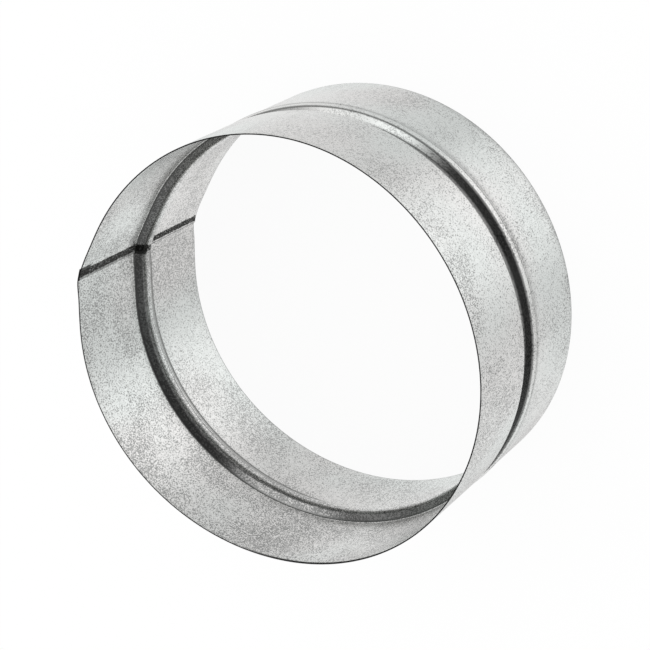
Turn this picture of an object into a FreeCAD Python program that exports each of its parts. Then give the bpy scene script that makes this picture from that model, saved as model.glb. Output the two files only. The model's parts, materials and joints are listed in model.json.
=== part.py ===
"""Round duct connector: a sleeve rolled from one strip of galvanised sheet steel.

The strip closes on itself in a welded lap seam, where the outer layer steps out by one
sheet thickness to lie on the inner one. A bead rolled inwards near mid length stops the two
duct ends that are pushed into the sleeve. The bead is a fold of the sheet, not a solid
ridge: the sheet keeps its thickness round every bend and through both layers of the lap.

Frame: the origin is the centre of the lower rim, +Z runs along the axis to the upper rim,
and +X runs through the middle of the lap seam. Millimetres.
"""
import FreeCAD
import Part

import math
import os

# Driving dimensions
bore_diameter = 200.0  # nominal duct size, clear inside the sleeve's two sockets
sheet_thickness = 0.6
sleeve_length = 102.0  # rim to rim
bead_depth = 5.2  # how far the bead stands into the bore
bead_width = 15.0  # along the axis, from one socket to the other
bead_drop = 1.7  # of the bead's crest from mid length, towards the lower rim
flank_angle_deg = 50.0  # lean of the bead's straight flanks from the axis
shoulder_strips = 2  # straight strips that each shoulder of the bead is drawn in
lap_width = 5.6  # overlap of the two layers round the circumference
lap_clearance = 0.4  # from the inner layer's cut edge to the foot of the joggle
joggle_length = 9.0  # stretch of circumference over which the outer layer steps out
joggle_stations = 5  # sections that the step is drawn through

# Derived sizes
bore_radius = bore_diameter / 2
mid_radius = bore_radius + sheet_thickness / 2
bead_height = sleeve_length / 2 - bead_drop
half_bead = bead_width / 2
flank_angle = math.radians(flank_angle_deg)
# Shoulder and crest have one bend radius, such that the flank between them is tangent to both.
bend_radius = (half_bead * math.sin(flank_angle) - bead_depth * math.cos(flank_angle)) / (
    2 * (1 - math.cos(flank_angle))
)
# Angles round the axis, measured from the middle of the lap.
half_lap_angle = lap_width / 2 / bore_radius
joggle_foot_angle = half_lap_angle + lap_clearance / bore_radius
joggle_top_angle = joggle_foot_angle + joggle_length / bore_radius

AXIS_FOOT = FreeCAD.Vector(0, 0, 0)
AXIS = FreeCAD.Vector(0, 0, 1)


def skin_edges(offset, angle):
    """Edges of one skin of the sheet from the lower rim up, in the half-plane at this angle.

    offset is how far the skin lies outside the bore, measured square to the sheet, so skins at
    different offsets have concentric bends. The crest is an arc between two straight flanks,
    and each shoulder is a fan of straight strips tangent to its own arc.
    """
    from_middle = offset - sheet_thickness / 2
    shoulder_radius = bend_radius + from_middle
    crest_radius = bend_radius - from_middle
    shoulder_centre = mid_radius - bend_radius
    crest_centre = mid_radius - bead_depth + bend_radius
    strip_turn = flank_angle / (shoulder_strips + 1)
    corner_radius = shoulder_radius / math.cos(strip_turn / 2)

    def placed(radius, height):
        return FreeCAD.Vector(radius * math.cos(angle), radius * math.sin(angle), height)

    def half_skin(side, rim):
        """Points from a rim to the crest's arc, below the bead (side -1) or above it (side 1)."""
        points = [placed(bore_radius + offset, rim)]
        for corner in range(shoulder_strips + 1):
            turn = (corner + 0.5) * strip_turn
            radius = shoulder_centre + corner_radius * math.cos(turn)
            height = half_bead - corner_radius * math.sin(turn)
            points.append(placed(radius, bead_height + side * height))
        radius = crest_centre - crest_radius * math.cos(flank_angle)
        height = crest_radius * math.sin(flank_angle)
        points.append(placed(radius, bead_height + side * height))
        return points

    lower = half_skin(-1, 0)
    upper = half_skin(1, sleeve_length)
    crest = placed(crest_centre - crest_radius, bead_height)
    edges = [Part.Arc(lower[-1], crest, upper[-1])]
    for points in (lower, upper):
        edges += [Part.LineSegment(start, end) for start, end in zip(points, points[1:])]
    return [edge.toShape() for edge in edges], lower[0], upper[0]


def section(inner_offset, angle):
    """Face of the sheet's cross-section in the half-plane at this angle round the axis."""
    inner, inner_low, inner_high = skin_edges(inner_offset, angle)
    outer, outer_low, outer_high = skin_edges(inner_offset + sheet_thickness, angle)
    rims = [
        Part.LineSegment(inner_low, outer_low).toShape(),
        Part.LineSegment(inner_high, outer_high).toShape(),
    ]
    return Part.Face(Part.Wire(Part.sortEdges(inner + outer + rims)[0]))


def turned(inner_offset, start_angle, end_angle):
    """Sheet carried round the axis from one angle to another."""
    sweep = math.degrees(end_angle - start_angle)
    return section(inner_offset, start_angle).revolve(AXIS_FOOT, AXIS, sweep)


def joggle():
    """Step of the outer layer: it eases out by one thickness on an S-shaped ramp."""
    wires = []
    for station in range(joggle_stations):
        share = station / (joggle_stations - 1)
        angle = joggle_top_angle + share * (joggle_foot_angle - joggle_top_angle)
        rise = sheet_thickness * (3 * share**2 - 2 * share**3)
        wires.append(section(rise, angle).OuterWire)
    return Part.makeLoft(wires, True, True)


def connector_sleeve():
    """The whole sleeve: inner layer all the way round, joggle, and outer layer of the lap."""
    wall = turned(0, joggle_top_angle, 2 * math.pi + half_lap_angle)
    lap = turned(sheet_thickness, -half_lap_angle, joggle_foot_angle)
    return wall.fuse([joggle(), lap]).Solids[0]


sleeve = connector_sleeve()
os.makedirs("parts", exist_ok=True)
sleeve.exportStep("parts/connector_sleeve.step")
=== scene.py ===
"""Looks of a round duct connector: a sleeve of galvanised sheet with a bead and a welded lap.

The sleeve is one strip of sheet, drawn as the sheet's cross-section carried once round the axis and
a little further, so that it overlaps itself in the lap. Metres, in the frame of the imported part.
"""

import json
import math
from collections import namedtuple

import bpy
import numpy as np
from bpy.props import FloatProperty, FloatVectorProperty, PointerProperty
from mathutils import Matrix, Vector


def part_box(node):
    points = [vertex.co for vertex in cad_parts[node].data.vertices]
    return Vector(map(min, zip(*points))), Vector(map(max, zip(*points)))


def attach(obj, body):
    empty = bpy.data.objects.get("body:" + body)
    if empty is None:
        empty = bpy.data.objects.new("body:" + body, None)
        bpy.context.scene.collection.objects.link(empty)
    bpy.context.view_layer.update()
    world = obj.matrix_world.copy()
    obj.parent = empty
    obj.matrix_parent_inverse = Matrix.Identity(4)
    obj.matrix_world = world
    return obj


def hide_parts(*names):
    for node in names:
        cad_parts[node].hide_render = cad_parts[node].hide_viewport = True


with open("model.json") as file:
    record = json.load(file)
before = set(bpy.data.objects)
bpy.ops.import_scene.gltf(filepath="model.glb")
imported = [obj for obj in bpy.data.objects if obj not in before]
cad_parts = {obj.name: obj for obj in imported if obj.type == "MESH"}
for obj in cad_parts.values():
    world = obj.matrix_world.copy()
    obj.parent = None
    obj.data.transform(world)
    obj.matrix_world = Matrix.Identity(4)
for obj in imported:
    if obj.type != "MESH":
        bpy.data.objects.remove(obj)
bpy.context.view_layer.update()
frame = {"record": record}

bl_info = {
    "name": "Duct connector",
    "version": (1, 0, 0),
    "blender": (4, 5, 0),
    "location": "3D View > Sidebar > Duct connector",
    "description": "Builds a galvanised duct connector and the studio that it stands in",
    "category": "Object",
}

MM = 0.001
FULL_TURN = 2 * math.pi
WHITE = (1, 1, 1, 1)
SLEEVE_NODE = "connector_sleeve"
INSIDE = "inside"
SOCKETS = {mount["name"]: mount for mount in frame["record"]["mounts"]}
BORE_RADIUS = SOCKETS["upper_socket"]["dims"]["r_mm"] * MM
SLEEVE_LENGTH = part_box(SLEEVE_NODE)[1].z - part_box(SLEEVE_NODE)[0].z

# How finely the sheet is drawn
TURN_STATIONS = 480
LAP_STEP = 0.4 * MM
ROUND_STEPS = 4
WALL_STEPS = 10
CREASE_STEPS = 12
SHOULDER_STEPS = 10
CREST_STEPS = 12
SHARP_ANGLE = math.radians(40)

# Grain of the zinc: sizes in flecks or clouds, and the levels of noise between which a mark comes in
STREAK_SCALE = 3.5
TINT_SCALE = 2.0
NOISE_MIDDLE = 0.5
FLECK_EDGE = (0.54, 0.64)
STREAK_EDGE = (0.0, 0.14)
CLOUD_EDGE = (0.35, 0.65)
SCRIBBLE_EDGE = (0.03, 0.0)
SCRIBBLE_GATE = (1.04, 1.16)
COOL_TINT = (0.97, 1.0, 0.985)
WARM_TINT = (1.01, 0.995, 0.985)

# How the flecks crowd: what is added to the grain's noise in each place
STREAK_CROWDING = (0.07, -0.05)
CLOUD_CROWDING = (-0.05, 0.05)
# Inside, the added crowding darkens the whole bore as painted shade
INSIDE_SHADE_CROWDING = 0.02
BEAD_CROWDING = 0.07
SOIL_CROWDING = 0.035
SOIL_FACING = (0.76, 0.98)
SOIL_RISE = (8.0 * MM, 20.0 * MM)

# How dark the flecks are: outside by the side that a place faces, inside by its height above the crest
OUTSIDE_FACING = (0.0, 1.0)
OUTSIDE_STRENGTH = (0.38, 0.92)
INSIDE_RISE = (-8.0 * MM, 12.0 * MM)
INSIDE_STRENGTH = (0.74, 0.9)

# Relief and gloss of the sheet
GRAIN_RELIEF = 0.05 * MM
GRAIN_BUMP = 0.1
GLOSS_EDGE = (0.3, 0.7)
GLOSS_SPREAD = (-0.03, 0.04)
BURNT_AND_SHADE_ROUGHNESS = 0.3
BEAD_SOFT = 0.8 * MM

# Lines of painted shade along the sheet: in the crease, along the bead's inner shoulder, at the lower
# rim, on a stretch of the upper rim and at the lap's edge
Line = namedtuple("Line", "half_width soft strength")
CREASE_SHADE = Line(0.9 * MM, 0.6 * MM, 1.0)
CREASE_SHADE_STRENGTH = (0.28, 0.6)
SHOULDER_SHADE = Line(0.35 * MM, 0.3 * MM, 0.85)
SHOULDER_INSET = 1.05 * MM
LOWER_RIM_SHADE = Line(0.6 * MM, 0.2 * MM, 0.55)
RIM_SHADE_LINE = Line(0.9 * MM, 0.3 * MM, 1.0)
RIM_SHADE_FACING = (0.86, 0.99)
LAP_EDGE_SHADE = Line(0.5 * MM, 0.2 * MM, 0.5)
LAP_EDGE_INSET = 0.2 * MM

# Weld track, ragged and speckled, narrower below the crest than above it
RAG_SIZE = 1.2 * MM
RAG_REACH = 2.0 * MM
TRACK_SOFT = 0.3 * MM
NARROW_RISE = (-4.0 * MM, 6.0 * MM)
NARROWING = (1.3, 1.0)
SPECKLE_SIZE = 0.8 * MM
SPECKLE_EDGE = (0.33, 0.48)
SPECKLE_STRENGTH = (0.45, 1.0)
WELD_GRIT = 0.6

# Burnt patches on the weld: at the upper rim, and just above the crest
Patch = namedtuple("Patch", "across half_width side_soft rise half_height end_soft")
RIM_PATCH = Patch(-0.9 * MM, 2.6 * MM, 0.5 * MM, 0.0, 8.0 * MM, 1.5 * MM)
BEAD_PATCH = Patch(1.4 * MM, 2.2 * MM, 0.8 * MM, 4.5 * MM, 2.6 * MM, 0.8 * MM)
PATCH_STRENGTH = 0.85

# Cut edges
CUT_MARK_SIZE = 0.5 * MM
CUT_MARK_EDGE = (0.35, 0.65)
CUT_MARK_TINT = (0.6, 0.6, 0.6)
CUT_GLOSS_EDGE = (0.3, 0.7)
CUT_ROUGHNESS = (0.35, 0.5)

# Pools of light or shade in the world: their middle, their reach from it and their core, in degrees
Pool = namedtuple("Pool", "azimuth elevation reach core")
FRONT_POOL = Pool(-131, -52, 30, 4)
FAR_POOL = Pool(60, -42, 75, 12)
WINDOW_POOL = Pool(-60, 46, 28, 4)
PANE_POOL = Pool(-60, 58, 12, 3)
SIDE_WINDOW_POOL = Pool(-25, 44, 20, 4)
CORNER_POOL = Pool(74, -60, 20, 4)
UNDER_POOL = Pool(0, -90, 28, 12)

# Elevations in degrees between which the light of the floor and of the walls comes in
FLOOR_FADE = (-2, -32)
WALLS_FADE = (52, 8)

# Floor, lamp and camera
FLOOR_REACH = 4.0
FLOOR_DROP = 0.2 * MM
LAMP_SIZE = 1.0
LAMP_DISTANCE = 1.6
SENSOR_WIDTH_MM = 36.0


def length(name, description, default):
    """A size in metres that a user may change."""
    return FloatProperty(
        name=name, description=description, default=default, unit="LENGTH", precision=5
    )


def angle(name, description, degrees):
    """An angle that a user may change."""
    default = math.radians(degrees)
    return FloatProperty(name=name, description=description, default=default, subtype="ANGLE")


def share(name, description, default):
    """A plain number that a user may change."""
    return FloatProperty(name=name, description=description, default=default, min=0)


def colour(name, description, default):
    """A colour that a user may change, as linear red, green and blue."""
    return FloatVectorProperty(
        name=name, description=description, default=default, subtype="COLOR", min=0, max=1
    )


class SleeveSizes(bpy.types.PropertyGroup):
    """Sizes of the sheet, its bead and its lap."""

    bore_radius: length("Bore radius", "Radius of the two sockets", BORE_RADIUS)
    sleeve_length: length("Sleeve length", "From rim to rim", SLEEVE_LENGTH)
    sheet_thickness: length("Sheet thickness", "Gauge of the sheet", 0.6 * MM)
    bead_depth: length("Bead depth", "How far the bead stands into the bore", 4.5 * MM)
    half_width: length("Half width", "From the crest up to the foot of the upper flank", 7.0 * MM)
    low_half_width: length("Low half width", "From the crest to the lower flank's foot", 5.3 * MM)
    flank_angle: angle("Flank angle", "Lean of the bead's upper flank from the axis", 48.0)
    low_flank_angle: angle("Low flank angle", "Lean of the lower flank from the axis", 64.0)
    shoulder_bend: length("Shoulder bend", "Radius of the bend from socket to flank", 1.7 * MM)
    bead_drop: length("Bead drop", "Of the crest from mid length, towards the lower rim", 1.8 * MM)
    bead_lean: length("Bead lean", "How far the bead dips where it lies lowest", 1.3 * MM)
    bead_lean_turn: angle("Bead lean turn", "Where the bead lies lowest, from the lap", 105.0)
    lean_reach: length("Lean reach", "Stretch of wall that takes up the lean", 30.0 * MM)
    crease_depth: length("Crease depth", "How far the crease below the bead stands out", 0.36 * MM)
    crease_width: length("Crease width", "Height of the crease", 2.5 * MM)
    crease_land: length("Crease land", "From the crease to the foot of the bead", 2.0 * MM)
    lap_width: length("Lap width", "Overlap of the two layers", 5.6 * MM)
    lap_clearance: length("Lap clearance", "From the inner layer's edge to the joggle", 0.4 * MM)
    lap_gap: length("Lap gap", "Hairline between the two layers", 0.02 * MM)
    joggle_length: length("Joggle length", "Stretch over which the outer layer steps out", 9.0 * MM)
    edge_round: length("Edge round", "Rounding of the sheared rims", 0.12 * MM)
    oval: length("Oval", "How far the two ends of the oval stand out", 0.76 * MM)
    oval_turn: angle("Oval turn", "Where the oval is longest, from the lap", 23.5)
    lobes: length("Lobes", "How far the sleeve stands out at its three lobes", 0.60 * MM)
    lobes_turn: angle("Lobes turn", "Where the first lobe is, from the lap", 31.4)
    seam_peak: length("Seam peak", "How far the sheet stands out at the seam", 1.79 * MM)
    seam_peak_turn: angle("Seam peak turn", "Where the peak is, from the lap", 0.3)
    seam_peak_reach: angle("Seam peak reach", "How far round the peak reaches to each side", 7.0)
    weld_place: length("Weld place", "Middle of the weld from the middle of the lap", -0.05 * MM)
    weld_skew: angle("Weld skew", "Lean of the weld track from the axis", 0.55)
    weld_width: length("Weld width", "Width of the burnt weld track", 4.0 * MM)
    weld_press: length("Weld press", "How deep the weld track is pressed in", 0.1 * MM)


class ZincFinish(bpy.types.PropertyGroup):
    """Colours and grain of the galvanised sheet."""

    zinc: colour("Zinc", "Bright zinc skin", (0.88, 0.885, 0.88))
    # Also the colour of the painted shade in the crease, along the lower rim and along the bead's inner
    # shoulder
    fleck_and_shade: colour("Fleck", "Small dark flecks in the zinc", (0.30, 0.305, 0.30))
    # Also the colour of the painted shade at the lap's edge and along the upper rim
    burnt_and_shade: colour("Burnt", "Scale on the weld track", (0.03, 0.03, 0.028))
    cut_edge: colour("Cut edge", "Bare steel of the sheared edges", (0.16, 0.16, 0.16))
    fleck_size: length("Fleck size", "Width of one fleck", 0.6 * MM)
    cloud_size: length("Cloud size", "Width of the clouds in which flecks crowd", 30.0 * MM)
    roughness: share("Roughness", "Roughness of the clean zinc", 0.27)
    burnish: share("Burnish", "Share of its roughness that the rolled bead keeps", 0.52)
    soil_turn: angle("Soil turn", "Where the flecks crowd together inside, from the lap", 80.0)
    grain_turn: angle("Grain turn", "Where the outside's flecks are darkest, from the lap", -165.0)
    # Where the painted shade along the upper rim is darkest
    rim_shade_turn: angle("Burr turn", "Where the upper rim's burr is darkest, from the lap", 116.0)


class StudioSettings(bpy.types.PropertyGroup):
    """Light, floor and camera."""

    low_light: share("Low light", "Brightness of the floor that the metal sees", 0.465)
    grey_walls: share("Grey walls", "Brightness of the walls, added to the floor's too", 0.25)
    front_light: share("Front light", "Extra brightness low down on the camera's side", 0.36)
    far_light: share("Far light", "Extra brightness low down on the far side", 0.22)
    window: share("Window", "Brightness of the soft window that the bead mirrors", 0.78)
    upper_pane: share("Upper pane", "Extra brightness of the window's upper part", 0.34)
    side_window: share("Side window", "Brightness of the fainter window beside it", 0.36)
    dark_corner: share("Dark corner", "Floor light missing in a corner on the far side", 0.18)
    under_shade: share("Under shade", "Floor light missing straight below", 0.4)
    ceiling: share("Ceiling", "Brightness of the dark room overhead", 0.022)
    floor_glow: share("Floor glow", "Share of the floor's white that no shadow reaches", 0.94)
    lamp_power: FloatProperty(
        name="Lamp power",
        description="Power of the soft lamp",
        default=2.0,
        subtype="POWER",
        unit="POWER",
    )
    camera_place: FloatVectorProperty(
        name="Camera place",
        description="Where the camera stands",
        default=(-0.34427, -0.4125, 0.84799),
        subtype="TRANSLATION",
        unit="LENGTH",
    )
    camera_aim: FloatVectorProperty(
        name="Camera aim",
        description="Point in the middle of the picture",
        default=(-0.00025, 0.0023, 0.051),
        subtype="TRANSLATION",
        unit="LENGTH",
    )
    camera_roll: angle("Camera roll", "Turn of the picture about the line of sight", 123.272)
    camera_lens: FloatProperty(
        name="Camera lens",
        description="Focal length in millimetres",
        default=115.568,
        unit="CAMERA",
    )


class ConnectorSettings(bpy.types.PropertyGroup):
    """All settings of the duct connector."""

    sleeve: PointerProperty(type=SleeveSizes)
    finish: PointerProperty(type=ZincFinish)
    studio: PointerProperty(type=StudioSettings)


# Shape of the sheet


def half_section(sizes, rim_to_crest, half_width, flank, crease_depth):
    """Midline of the sheet from one rim to the crest, in the half-plane through the axis.

    Returns distance from the rim, inset from the wall, lean and half thickness as arrays. The wall
    is straight, the crease is a shallow wave 16 e^2 (1 - e)^2 outwards, the shoulder and the crest
    are arcs, and the flank is the straight tangent between them, which fixes the sum of the two
    radii. Lean is the angle of the sheet's slope from the axis. At the rim the half thickness falls
    on a quarter circle, which rounds the sheared edge.
    """
    bends = half_width * math.sin(flank) - sizes.bead_depth * math.cos(flank)
    bends /= 1 - math.cos(flank)
    shoulder_bend = sizes.shoulder_bend
    crest_bend = bends - shoulder_bend
    foot = rim_to_crest - half_width
    crease_start = foot - sizes.crease_land - sizes.crease_width
    crease_steps = CREASE_STEPS if crease_depth else 1

    round_turn = np.linspace(0, np.pi / 2, ROUND_STEPS + 1)
    rounding = sizes.edge_round * (1 - np.cos(round_turn))
    straight = np.linspace(sizes.edge_round, crease_start, WALL_STEPS + 1)
    wall = np.concatenate([rounding[:-1], straight])
    ease = np.linspace(0, 1, crease_steps + 1)[1:]
    shoulder = np.linspace(0, flank, SHOULDER_STEPS + 1)
    crest = np.linspace(flank, 0, CREST_STEPS + 1)

    along = [wall, crease_start + ease * sizes.crease_width]
    along.append(foot + shoulder_bend * np.sin(shoulder))
    along.append(rim_to_crest - crest_bend * np.sin(crest))
    inset = [np.zeros_like(wall), -16 * crease_depth * (ease * (1 - ease)) ** 2]
    inset.append(shoulder_bend * (1 - np.cos(shoulder)))
    inset.append(sizes.bead_depth - crest_bend * (1 - np.cos(crest)))
    slope = -32 * crease_depth / sizes.crease_width * ease * (1 - ease) * (1 - 2 * ease)
    lean = np.concatenate([np.zeros_like(wall), np.arctan(slope), shoulder, crest])
    half = np.full_like(lean, (sizes.sheet_thickness - sizes.lap_gap) / 2)
    half[: ROUND_STEPS + 1] -= sizes.edge_round * (1 - np.sin(round_turn))
    return np.concatenate(along), np.concatenate(inset), lean, half


def sheet_section(sizes):
    """Midline of the sheet from the lower rim to the upper one.

    Returns radius, height, lean and half thickness. Lean is here the angle of the sheet's outward
    side above the horizontal. The bead's lower half is narrower and steeper, and a land and a crease
    lie between its foot and the lower socket.
    """
    crest_height = sizes.sleeve_length / 2 - sizes.bead_drop
    low_along, low_inset, low_lean, low_thick = half_section(
        sizes, crest_height, sizes.low_half_width, sizes.low_flank_angle, sizes.crease_depth
    )
    high_along, high_inset, high_lean, high_thick = half_section(
        sizes, sizes.sleeve_length - crest_height, sizes.half_width, sizes.flank_angle, 0.0
    )
    middle = sizes.bore_radius + sizes.sheet_thickness / 2
    radius = middle - np.concatenate([low_inset, high_inset[-2::-1]])
    height = np.concatenate([low_along, sizes.sleeve_length - high_along[-2::-1]])
    lean = np.concatenate([low_lean, -high_lean[-2::-1]])
    return radius, height, lean, np.concatenate([low_thick, high_thick[-2::-1]])


def strip_turns(sizes):
    """Angles round the axis at which the section stands, from the outer layer's edge to the inner's.

    They are close together over the lap, the weld and the joggle, and even over the rest of the turn.
    Also returns how far the outer layer has stepped out at each, by a smooth step 3 s^2 - 2 s^3.
    """
    half_lap = sizes.lap_width / 2 / sizes.bore_radius
    foot = half_lap + sizes.lap_clearance / sizes.bore_radius
    top = foot + sizes.joggle_length / sizes.bore_radius
    start, end = -half_lap, FULL_TURN + half_lap
    step = LAP_STEP / sizes.bore_radius
    fine = FULL_TURN - 2 * half_lap
    first = np.linspace(start, top, round((top - start) / step) + 1)
    rest = np.linspace(top, fine, round((fine - top) / FULL_TURN * TURN_STATIONS) + 1)
    last = np.linspace(fine, end, round((end - fine) / step) + 1)
    turn = np.concatenate([first, rest[1:], last[1:]])
    out = np.clip((top - turn) / (top - foot), 0, 1)
    return turn, sizes.sheet_thickness * (3 * out**2 - 2 * out**3)


def out_of_round(sizes, turn):
    """How far the sheet stands out of a true circle at these angles round the axis.

    out = oval * cos 2a + lobes * cos 3b + peak * exp(-(c / reach)^2), where a, b and c are the angles
    from the oval's long end, from the first lobe and from the peak. The strip's two ends reach round
    to the same place, so c is taken within half a turn, and both layers of the lap move together.
    """
    from_peak = (turn - sizes.seam_peak_turn + math.pi) % FULL_TURN - math.pi
    out = sizes.oval * np.cos(2 * (turn - sizes.oval_turn))
    out += sizes.lobes * np.cos(3 * (turn - sizes.lobes_turn))
    return out + sizes.seam_peak * np.exp(-((from_peak / sizes.seam_peak_reach) ** 2))


def sheet_points(sizes):
    """Points of the whole strip on a grid of turn by place round the section's outline.

    point = (radius + offset * cos lean, turn, height + offset * sin lean) in cylinder coordinates,
    where offset is plus or minus half the thickness, with the rise of the outer layer added to it,
    and the radius takes in how far the sleeve is out of round. The weld presses both outer faces of
    the lap in by a bell curve across the track. The bead's plane leans: it is lowered by
    bead_lean * cos(turn - bead_lean_turn), and the walls stretch to follow it.
    """
    radius, height, lean, half = sheet_section(sizes)
    turn, rise = strip_turns(sizes)
    weld_turn = sizes.weld_place / sizes.bore_radius
    across = (turn - weld_turn) * sizes.bore_radius
    across_end = (turn - FULL_TURN - weld_turn) * sizes.bore_radius
    bell = 2 / sizes.weld_width
    press_outer = -sizes.weld_press * np.exp(-((bell * across) ** 2))
    press_inner = sizes.weld_press * np.exp(-((bell * across_end) ** 2))
    inner = rise[:, None] + press_inner[:, None] - half
    outer = rise[:, None] + press_outer[:, None] + half
    offset = np.concatenate([inner, outer[:, ::-1]], axis=1)
    around = np.concatenate([np.arange(radius.size), np.arange(radius.size)[::-1]])
    ring = radius[around] + offset * np.cos(lean[around]) + out_of_round(sizes, turn)[:, None]
    level = height[around] + offset * np.sin(lean[around])
    column = turn[:, None]
    from_rim = np.minimum(level, sizes.sleeve_length - level)
    follow = np.clip(from_rim / sizes.lean_reach, 0, 1)
    level -= follow * sizes.bead_lean * np.cos(column - sizes.bead_lean_turn)
    return np.stack([ring * np.cos(column), ring * np.sin(column), level], axis=-1)


def sheet_faces(stations, outline):
    """Quads of the closed strip: its outline carried from station to station, and the two cut ends.

    Returns the quads, a mask of those on bare cut steel, which are the rims and the two ends, and a
    mask of those on the inner side.
    """
    number = np.arange(stations * outline).reshape(stations, outline)
    ahead = np.roll(number, -1, axis=1)
    sides = np.stack([number[:-1], number[1:], ahead[1:], ahead[:-1]], axis=-1)
    half = outline // 2
    low = np.arange(half - 1)
    partner = outline - 1 - low
    end = np.stack([low, low + 1, partner - 1, partner], axis=-1)
    ends = np.concatenate([number[0][end], number[-1][end[:, ::-1]]])
    bare = np.zeros(sides.shape[:2], bool)
    bare[:, :ROUND_STEPS] = True
    bare[:, half - 1 - ROUND_STEPS : half + ROUND_STEPS] = True
    bare[:, outline - 1 - ROUND_STEPS :] = True
    inner = np.zeros(sides.shape[:2], bool)
    inner[:, : half - 1] = True
    quads = np.concatenate([sides.reshape(-1, 4), ends])
    bare = np.concatenate([bare.ravel(), np.ones(len(ends), bool)])
    return quads, bare, np.concatenate([inner.ravel(), np.zeros(len(ends), bool)])


def sleeve_mesh(sizes):
    """Mesh of the whole sleeve, with sheet as its first material and cut edges as its second."""
    points = sheet_points(sizes)
    quads, bare, inner = sheet_faces(*points.shape[:2])
    mesh = bpy.data.meshes.new("rolled_sleeve")
    mesh.from_pydata(points.reshape(-1, 3), [], quads)
    mesh.polygons.foreach_set("use_smooth", np.ones(len(quads), bool))
    mesh.polygons.foreach_set("material_index", bare.astype(np.int32))
    mark = mesh.attributes.new(INSIDE, "FLOAT", "FACE")
    mark.data.foreach_set("value", inner.astype(np.float32))
    mesh.set_sharp_from_angle(angle=SHARP_ANGLE)
    mesh.validate()
    return mesh


# Finishes


def direction(azimuth, elevation):
    """Unit vector at these angles in degrees, azimuth from +X towards +Y."""
    turn, rise = math.radians(azimuth), math.radians(elevation)
    flat = math.cos(rise)
    return Vector((flat * math.cos(turn), flat * math.sin(turn), math.sin(rise)))


def rgba(value):
    """A colour with full alpha."""
    return (*value, 1.0)


def tinted(value, tint):
    """A colour with each part scaled by the tint's, and full alpha."""
    return rgba([part * scale for part, scale in zip(value, tint)])


class Nodes:
    """A node tree and short ways to add to it."""

    def __init__(self, owner):
        owner.use_nodes = True
        self.tree = owner.node_tree
        self.tree.nodes.clear()

    def add(self, kind, inputs=(), **settings):
        """A node of this kind. Inputs are values to set or sockets to link, by name or number."""
        node = self.tree.nodes.new(kind)
        for name, value in settings.items():
            setattr(node, name, value)
        for name, value in dict(inputs).items():
            if isinstance(value, bpy.types.NodeSocket):
                self.tree.links.new(value, node.inputs[name])
            else:
                node.inputs[name].default_value = value
        return node

    def math(self, operation, first, *others):
        """Result of an operation on one number, or carried on from the first number to the last."""
        for other in others or (0.0,):
            node = self.add("ShaderNodeMath", {0: first, 1: other}, operation=operation)
            first = node.outputs[0]
        return first

    def dot(self, first, second):
        """Dot product of two vectors."""
        inputs = {0: first, 1: second}
        node = self.add("ShaderNodeVectorMath", inputs, operation="DOT_PRODUCT")
        return node.outputs["Value"]

    def between(self, value, low, high, to_low=0.0, to_high=1.0):
        """Value eased from to_low to to_high as it goes from low to high."""
        inputs = {"Value": value, "From Min": low, "From Max": high}
        inputs.update({"To Min": to_low, "To Max": to_high})
        node = self.add("ShaderNodeMapRange", inputs, interpolation_type="SMOOTHSTEP")
        return node.outputs["Result"]

    def band(self, value, middle, half_width, soft):
        """One within half_width of the middle, eased to nothing over a soft edge."""
        away = self.math("ABSOLUTE", self.math("SUBTRACT", value, middle))
        return self.between(away, half_width + soft, half_width - soft)

    def mix(self, amount, first, second):
        """Number between two numbers."""
        inputs = {0: amount, 2: first, 3: second}
        return self.add("ShaderNodeMix", inputs, data_type="FLOAT").outputs[0]

    def blend(self, amount, first, second):
        """Colour between two colours."""
        inputs = {0: amount, 6: first, 7: second}
        return self.add("ShaderNodeMix", inputs, data_type="RGBA").outputs[2]

    def noise(self, place, size, detail=2.0, roughness=0.5):
        """Smooth noise with lumps of this size in metres."""
        inputs = {"Vector": place, "Scale": 1 / size, "Detail": detail, "Roughness": roughness}
        return self.add("ShaderNodeTexNoise", inputs).outputs["Fac"]

    def metal(self, surface, roughness, **others):
        """Bare metal as the look of the material."""
        inputs = {"Base Color": surface, "Metallic": 1.0, "Roughness": roughness, **others}
        shader = self.add("ShaderNodeBsdfPrincipled", inputs)
        self.add("ShaderNodeOutputMaterial", {"Surface": shader.outputs[0]})


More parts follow.
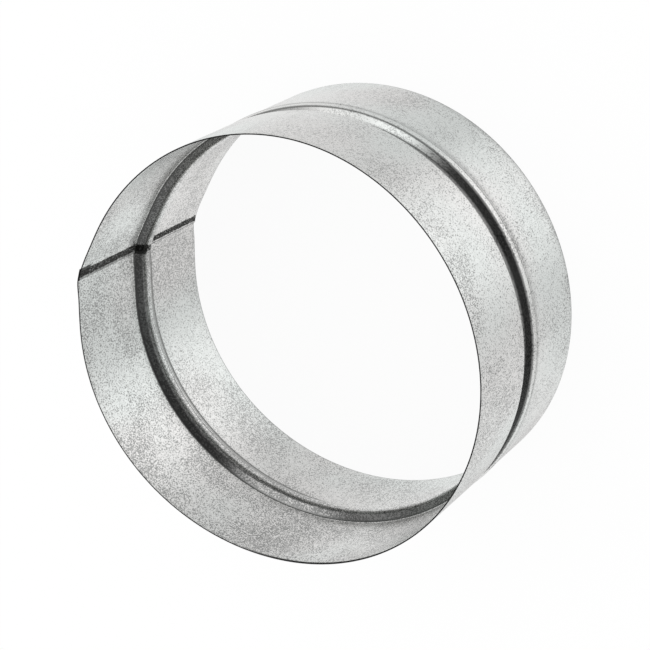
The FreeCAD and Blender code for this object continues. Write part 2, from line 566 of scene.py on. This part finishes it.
class SheetPattern:
    """Patterns on the galvanised sheet, each as a socket. Masks go from 0 for none to 1 for full."""

    def __init__(self, nodes, sizes, finish):
        self.nodes = nodes
        self.sizes = sizes
        self.finish = finish
        self.place = nodes.add("ShaderNodeTexCoord").outputs["Object"]
        self.axes = nodes.add("ShaderNodeSeparateXYZ", {0: self.place}).outputs
        self.inside = nodes.add("ShaderNodeAttribute", attribute_name=INSIDE).outputs["Fac"]
        self.crest = sizes.sleeve_length / 2 - sizes.bead_drop
        self.above_crest = self.height_above_crest()
        self.rolled = self.bead()
        self.grain = nodes.noise(self.place, finish.fleck_size, detail=1.0)
        self.streaks = nodes.noise(self.place, STREAK_SCALE * finish.fleck_size)
        self.clouds = nodes.noise(self.place, finish.cloud_size)
        self.ridge = nodes.math("ABSOLUTE", nodes.math("SUBTRACT", self.streaks, NOISE_MIDDLE))

    def towards(self, turn):
        """Distance of a place from the axis in the direction at this angle round it."""
        return self.nodes.dot(self.place, direction(math.degrees(turn), 0))

    def facing(self, turn, edge, levels=(0.0, 1.0)):
        """How far a place lies towards this angle, eased between two shares of the bore radius."""
        low, high = (part * self.sizes.bore_radius for part in edge)
        return self.nodes.between(self.towards(turn), low, high, *levels)

    def height_above_crest(self):
        """Height above the bead's crest in metres. The crest leans."""
        along = self.towards(self.sizes.bead_lean_turn)
        dip = self.nodes.math("MULTIPLY", along, self.sizes.bead_lean / self.sizes.bore_radius)
        return self.nodes.math("SUBTRACT", self.nodes.math("ADD", self.axes["Z"], dip), self.crest)

    def bead(self):
        """The bead, which the rolls have burnished."""
        middle = (self.sizes.half_width - self.sizes.low_half_width) / 2
        reach = (self.sizes.half_width + self.sizes.low_half_width) / 2
        return self.nodes.band(self.above_crest, middle, reach, BEAD_SOFT)

    def line(self, value, middle, kind):
        """A line of one kind, where the value is near the middle."""
        mask = self.nodes.band(value, middle, kind.half_width, kind.soft)
        return self.nodes.math("MULTIPLY", mask, kind.strength)

    def patch(self, across, height, base, kind):
        """A patch of one kind on the weld. Its height is counted from the base."""
        side = self.nodes.band(across, kind.across, kind.half_width, kind.side_soft)
        end = self.nodes.band(height, base + kind.rise, kind.half_height, kind.end_soft)
        return self.nodes.math("MULTIPLY", side, end)

    def weld(self):
        """Burnt scale on the ragged weld track and in two patches on it, with painted shade along the
        lap's edge.
        """
        nodes, sizes = self.nodes, self.sizes
        from_middle = nodes.math("SUBTRACT", self.axes["Z"], sizes.sleeve_length / 2)
        skew = nodes.math("MULTIPLY", from_middle, math.tan(sizes.weld_skew))
        ragged = nodes.noise(self.place, RAG_SIZE, detail=3.0, roughness=WELD_GRIT)
        stray = nodes.math("MULTIPLY", nodes.math("SUBTRACT", ragged, NOISE_MIDDLE), RAG_REACH)
        straight = nodes.math("ADD", self.axes["Y"], skew)
        across = nodes.math("ADD", straight, stray)
        height = nodes.math("ADD", self.axes["Z"], stray)

        low, high = (self.crest + rise for rise in NARROW_RISE)
        scaled = nodes.math("MULTIPLY", across, nodes.between(height, low, high, *NARROWING))
        track = nodes.band(scaled, sizes.weld_place, sizes.weld_width / 2, TRACK_SOFT)
        speckle = nodes.noise(self.place, SPECKLE_SIZE, roughness=WELD_GRIT)
        speckle = nodes.between(speckle, *SPECKLE_EDGE, *SPECKLE_STRENGTH)
        track = nodes.math("MULTIPLY", track, speckle)
        # Painted shade along the lap's edge, where the outer layer steps out over the inner one's cut
        # edge
        edge = self.line(straight, sizes.lap_width / 2 - LAP_EDGE_INSET, LAP_EDGE_SHADE)
        rim_patch = self.patch(across, height, sizes.sleeve_length, RIM_PATCH)
        bead_patch = self.patch(across, height, self.crest, BEAD_PATCH)
        patches = nodes.math("MAXIMUM", rim_patch, bead_patch)
        patches = nodes.math("MULTIPLY", patches, PATCH_STRENGTH)
        burnt_and_shade = nodes.math("MAXIMUM", track, edge, patches)
        return nodes.math("MULTIPLY", burnt_and_shade, nodes.math("GREATER_THAN", self.axes["X"], 0.0))

    def rim_shade(self):
        """Painted shade along a stretch of the upper rim."""
        rim = self.line(self.axes["Z"], self.sizes.sleeve_length, RIM_SHADE_LINE)
        return self.nodes.math("MULTIPLY", rim, self.facing(self.finish.rim_shade_turn, RIM_SHADE_FACING))

    def shade_lines(self):
        """Painted shade in the crease, along the lower rim where the sleeve stands on the floor and,
        inside, along the bead's upper shoulder.
        """
        nodes, sizes = self.nodes, self.sizes
        # Painted shade in the crease below the bead
        middle = -sizes.low_half_width - sizes.crease_land - sizes.crease_width / 2
        crease = self.line(self.above_crest, middle, CREASE_SHADE)
        strength = nodes.between(self.inside, 0.0, 1.0, *CREASE_SHADE_STRENGTH)
        crease = nodes.math("MULTIPLY", crease, strength)
        # Painted shade inside, along the bead's upper shoulder
        shoulder = self.line(self.above_crest, sizes.half_width - SHOULDER_INSET, SHOULDER_SHADE)
        shoulder = nodes.math("MULTIPLY", shoulder, self.inside)
        # Painted contact shadow along the lower rim, where the sleeve stands on the floor
        rim = self.line(self.axes["Z"], 0.0, LOWER_RIM_SHADE)
        return nodes.math("MAXIMUM", crease, shoulder, rim)

    def soil(self):
        """A stretch of the upper inner wall where the flecks crowd together."""
        along = self.facing(self.finish.soil_turn, SOIL_FACING)
        height = self.nodes.between(self.above_crest, *SOIL_RISE)
        return self.nodes.math("MULTIPLY", along, height, self.inside)

    def crowding(self):
        """What is added to the grain's noise, so that the flecks crowd in some places. Inside, it
        darkens the bore as painted shade.
        """
        nodes = self.nodes
        in_streaks = nodes.between(self.ridge, *STREAK_EDGE, *STREAK_CROWDING)
        in_clouds = nodes.between(self.clouds, *CLOUD_EDGE, *CLOUD_CROWDING)
        on_inside_shade = nodes.math("MULTIPLY", self.inside, INSIDE_SHADE_CROWDING)
        on_bead = nodes.math("MULTIPLY", self.rolled, self.inside, BEAD_CROWDING)
        on_soil = nodes.math("MULTIPLY", self.soil(), SOIL_CROWDING)
        return nodes.math("ADD", in_streaks, in_clouds, on_inside_shade, on_bead, on_soil)

    def fleck_strength(self):
        """How dark the flecks are: outside it changes round the sleeve, inside with the height."""
        outer = self.facing(self.finish.grain_turn, OUTSIDE_FACING, OUTSIDE_STRENGTH)
        inner = self.nodes.between(self.above_crest, *INSIDE_RISE, *INSIDE_STRENGTH)
        return self.nodes.mix(self.inside, outer, inner)

    def flecks(self):
        """Small dark flecks, thin scribbles along the streaks, and the lines of painted shade."""
        nodes = self.nodes
        flecks = nodes.between(nodes.math("ADD", self.grain, self.crowding()), *FLECK_EDGE)
        flecks = nodes.math("MULTIPLY", flecks, self.fleck_strength())
        gate = nodes.between(nodes.math("ADD", self.clouds, self.grain), *SCRIBBLE_GATE)
        scribbles = nodes.math("MULTIPLY", nodes.between(self.ridge, *SCRIBBLE_EDGE), gate)
        return nodes.math("MAXIMUM", flecks, scribbles, self.shade_lines())

    def pale_zinc(self):
        """Colour of the clean zinc, in clouds of two faint tints."""
        cool, warm = tinted(self.finish.zinc, COOL_TINT), tinted(self.finish.zinc, WARM_TINT)
        tint = self.nodes.noise(self.place, TINT_SCALE * self.finish.cloud_size, detail=1.0)
        return self.nodes.blend(self.nodes.between(tint, *CLOUD_EDGE), cool, warm)

    def roughness(self, burnt_and_shade):
        """Roughness, which varies with the streaks, is less on the bead and more on the burnt weld and
        painted shade.
        """
        low, high = (self.finish.roughness + spread for spread in GLOSS_SPREAD)
        clean = self.nodes.between(self.streaks, *GLOSS_EDGE, low, high)
        kept = self.nodes.between(self.rolled, 0.0, 1.0, 1.0, self.finish.burnish)
        added = self.nodes.math("MULTIPLY", burnt_and_shade, BURNT_AND_SHADE_ROUGHNESS)
        return self.nodes.math("ADD", self.nodes.math("MULTIPLY", clean, kept), added)


def galvanised_sheet(sizes, finish):
    """Bright zinc, small dark flecks crowding in streaks and clouds, burnt weld and painted shade
    lines.
    """
    material = bpy.data.materials.new("galvanised_sheet")
    nodes = Nodes(material)
    pattern = SheetPattern(nodes, sizes, finish)
    skin = nodes.blend(pattern.flecks(), pattern.pale_zinc(), rgba(finish.fleck_and_shade))
    # The burnt weld, with painted shade at the lap's edge and along the upper rim
    burnt_and_shade = nodes.math("MAXIMUM", pattern.weld(), pattern.rim_shade())
    surface = nodes.blend(burnt_and_shade, skin, rgba(finish.burnt_and_shade))
    relief = nodes.math("SUBTRACT", pattern.grain, burnt_and_shade)
    inputs = {"Strength": GRAIN_BUMP, "Distance": GRAIN_RELIEF, "Height": relief}
    bump = nodes.add("ShaderNodeBump", inputs)
    nodes.metal(surface, pattern.roughness(burnt_and_shade), Normal=bump.outputs["Normal"])
    return material


def cut_steel(finish):
    """Bare sheared steel with fine darker marks."""
    material = bpy.data.materials.new("cut_steel")
    nodes = Nodes(material)
    place = nodes.add("ShaderNodeTexCoord").outputs["Object"]
    marks = nodes.noise(place, CUT_MARK_SIZE)
    dark = tinted(finish.cut_edge, CUT_MARK_TINT)
    surface = nodes.blend(nodes.between(marks, *CUT_MARK_EDGE), rgba(finish.cut_edge), dark)
    nodes.metal(surface, nodes.between(marks, *CUT_GLOSS_EDGE, *CUT_ROUGHNESS))
    return material


# Stage


def sine(degrees):
    """Sine of an angle in degrees, which is the height of a ray at that elevation."""
    return math.sin(math.radians(degrees))


def soft_pool(nodes, ray, pool, level):
    """A round pool, eased from nothing at its reach to its full level in its core."""
    near = nodes.dot(ray, direction(pool.azimuth, pool.elevation))
    edge, core = (math.cos(math.radians(degrees)) for degrees in (pool.reach, pool.core))
    return nodes.between(near, edge, core, 0.0, level)


def studio_world(studio):
    """White for the eye and for soft light. The metal sees a pale floor, grey walls and a dark ceiling.

    Two pools brighten the floor on the camera's side and on the far side. It is darker straight below
    and in one corner. A soft window with a brighter upper pane stands high in the dark, with a
    fainter one beside it.
    """
    world = bpy.data.worlds.new("studio")
    bpy.context.scene.world = world
    nodes = Nodes(world)
    ray = nodes.add("ShaderNodeTexCoord").outputs["Generated"]
    height = nodes.add("ShaderNodeSeparateXYZ", {0: ray}).outputs["Z"]
    front = soft_pool(nodes, ray, FRONT_POOL, studio.front_light)
    far = soft_pool(nodes, ray, FAR_POOL, studio.far_light)
    window = soft_pool(nodes, ray, WINDOW_POOL, studio.window)
    pane = soft_pool(nodes, ray, PANE_POOL, studio.upper_pane)
    beside = soft_pool(nodes, ray, SIDE_WINDOW_POOL, studio.side_window)
    corner = soft_pool(nodes, ray, CORNER_POOL, studio.dark_corner)
    under = soft_pool(nodes, ray, UNDER_POOL, studio.under_shade)
    floor = nodes.math("ADD", front, far, studio.low_light)
    floor = nodes.math("SUBTRACT", floor, corner, under)
    floor = nodes.math("MULTIPLY", floor, nodes.between(height, *map(sine, FLOOR_FADE)))
    walls = nodes.between(height, *map(sine, WALLS_FADE), studio.ceiling, studio.grey_walls)
    level = nodes.math("ADD", floor, walls, window, pane, beside)
    glossy = nodes.add("ShaderNodeLightPath").outputs["Is Glossy Ray"]
    seen = nodes.mix(glossy, 1.0, level)
    sky = nodes.add("ShaderNodeBackground", {"Color": WHITE, "Strength": seen})
    nodes.add("ShaderNodeOutputWorld", {"Surface": sky.outputs[0]})


def pale_floor(studio):
    """White to the eye, apart from the share that the sleeve's shadow takes away."""
    material = bpy.data.materials.new("pale_floor")
    nodes = Nodes(material)
    path = nodes.add("ShaderNodeLightPath").outputs
    seen = nodes.math("MAXIMUM", path["Is Camera Ray"], path["Is Transmission Ray"])
    glow = nodes.add("ShaderNodeEmission", {"Color": WHITE, "Strength": 1.0}).outputs[0]
    matt = nodes.add("ShaderNodeBsdfDiffuse", {"Color": WHITE}).outputs[0]
    amount = nodes.math("MULTIPLY", seen, studio.floor_glow)
    both = nodes.add("ShaderNodeMixShader", {0: amount, 1: matt, 2: glow})
    nodes.add("ShaderNodeOutputMaterial", {"Surface": both.outputs[0]})
    return material


def add_floor(studio):
    """A wide flat sheet just under the lower rim. Metal looks past it at the room's own low light."""
    mesh = bpy.data.meshes.new("floor")
    around = ((-1, -1), (1, -1), (1, 1), (-1, 1))
    corners = [(FLOOR_REACH * x, FLOOR_REACH * y, -FLOOR_DROP) for x, y in around]
    mesh.from_pydata(corners, [], [(0, 1, 2, 3)])
    mesh.materials.append(pale_floor(studio))
    floor = bpy.data.objects.new("floor", mesh)
    bpy.context.scene.collection.objects.link(floor)
    floor.visible_glossy = False


def add_lamp(studio):
    """A large soft lamp where the window is, for the shadow. The metal sees the window instead."""
    data = bpy.data.lights.new("soft_lamp", "AREA")
    data.shape = "DISK"
    data.size = LAMP_SIZE
    data.energy = studio.lamp_power
    lamp = bpy.data.objects.new("soft_lamp", data)
    bpy.context.scene.collection.objects.link(lamp)
    away = direction(WINDOW_POOL.azimuth, WINDOW_POOL.elevation)
    lamp.location = LAMP_DISTANCE * away
    lamp.rotation_euler = away.to_track_quat("Z", "Y").to_euler()
    lamp.visible_glossy = False


def add_camera(studio):
    """The camera, by where it stands, what it aims at and its roll about the line of sight."""
    data = bpy.data.cameras.new("camera")
    data.sensor_width = SENSOR_WIDTH_MM
    data.lens = studio.camera_lens
    camera = bpy.data.objects.new("camera", data)
    bpy.context.scene.collection.objects.link(camera)
    place = Vector(studio.camera_place)
    sight = (Vector(studio.camera_aim) - place).normalized()
    level = sight.cross(Vector((0, 0, 1))).normalized()
    upright = level.cross(sight)
    roll = studio.camera_roll
    up = math.cos(roll) * upright + math.sin(roll) * level
    turn = Matrix((sight.cross(up), up, -sight)).transposed().to_4x4()
    turn.translation = place
    camera.matrix_world = turn
    bpy.context.scene.camera = camera


# Operators


class CONNECTOR_OT_make_sleeve(bpy.types.Operator):
    """Build the rolled sleeve with its bead, lap and weld."""

    bl_idname = "connector.make_sleeve"
    bl_label = "Make sleeve"

    def execute(self, context):
        settings = context.scene.duct_connector
        mesh = sleeve_mesh(settings.sleeve)
        mesh.materials.append(galvanised_sheet(settings.sleeve, settings.finish))
        mesh.materials.append(cut_steel(settings.finish))
        sleeve = bpy.data.objects.new("rolled_sleeve", mesh)
        context.scene.collection.objects.link(sleeve)
        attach(sleeve, "root")
        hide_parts(SLEEVE_NODE)
        return {"FINISHED"}


class CONNECTOR_OT_make_stage(bpy.types.Operator):
    """Build the floor, the light and the camera."""

    bl_idname = "connector.make_stage"
    bl_label = "Make stage"

    def execute(self, context):
        studio = context.scene.duct_connector.studio
        context.scene.view_settings.view_transform = "Standard"
        studio_world(studio)
        add_floor(studio)
        add_lamp(studio)
        add_camera(studio)
        return {"FINISHED"}


class CONNECTOR_PT_panel(bpy.types.Panel):
    """Settings and steps of the duct connector."""

    bl_idname = "CONNECTOR_PT_panel"
    bl_label = "Duct connector"
    bl_space_type = "VIEW_3D"
    bl_region_type = "UI"
    bl_category = "Duct connector"

    def draw(self, context):
        settings = context.scene.duct_connector
        for group in (settings.sleeve, settings.finish, settings.studio):
            box = self.layout.box()
            for name in group.__annotations__:
                box.prop(group, name)
        for step in STEPS:
            self.layout.operator(step.bl_idname)


STEPS = (CONNECTOR_OT_make_sleeve, CONNECTOR_OT_make_stage)
CLASSES = (SleeveSizes, ZincFinish, StudioSettings, ConnectorSettings, *STEPS, CONNECTOR_PT_panel)


def register():
    """Adds the settings, the steps and the panel."""
    for entry in CLASSES:
        bpy.utils.register_class(entry)
    bpy.types.Scene.duct_connector = PointerProperty(type=ConnectorSettings)


def unregister():
    """Takes the settings, the steps and the panel away."""
    del bpy.types.Scene.duct_connector
    for entry in reversed(CLASSES):
        bpy.utils.unregister_class(entry)


def main():
    """Builds the sleeve and its stage."""
    register()
    bpy.ops.connector.make_sleeve()
    bpy.ops.connector.make_stage()


if __name__ == "__main__":
    main()
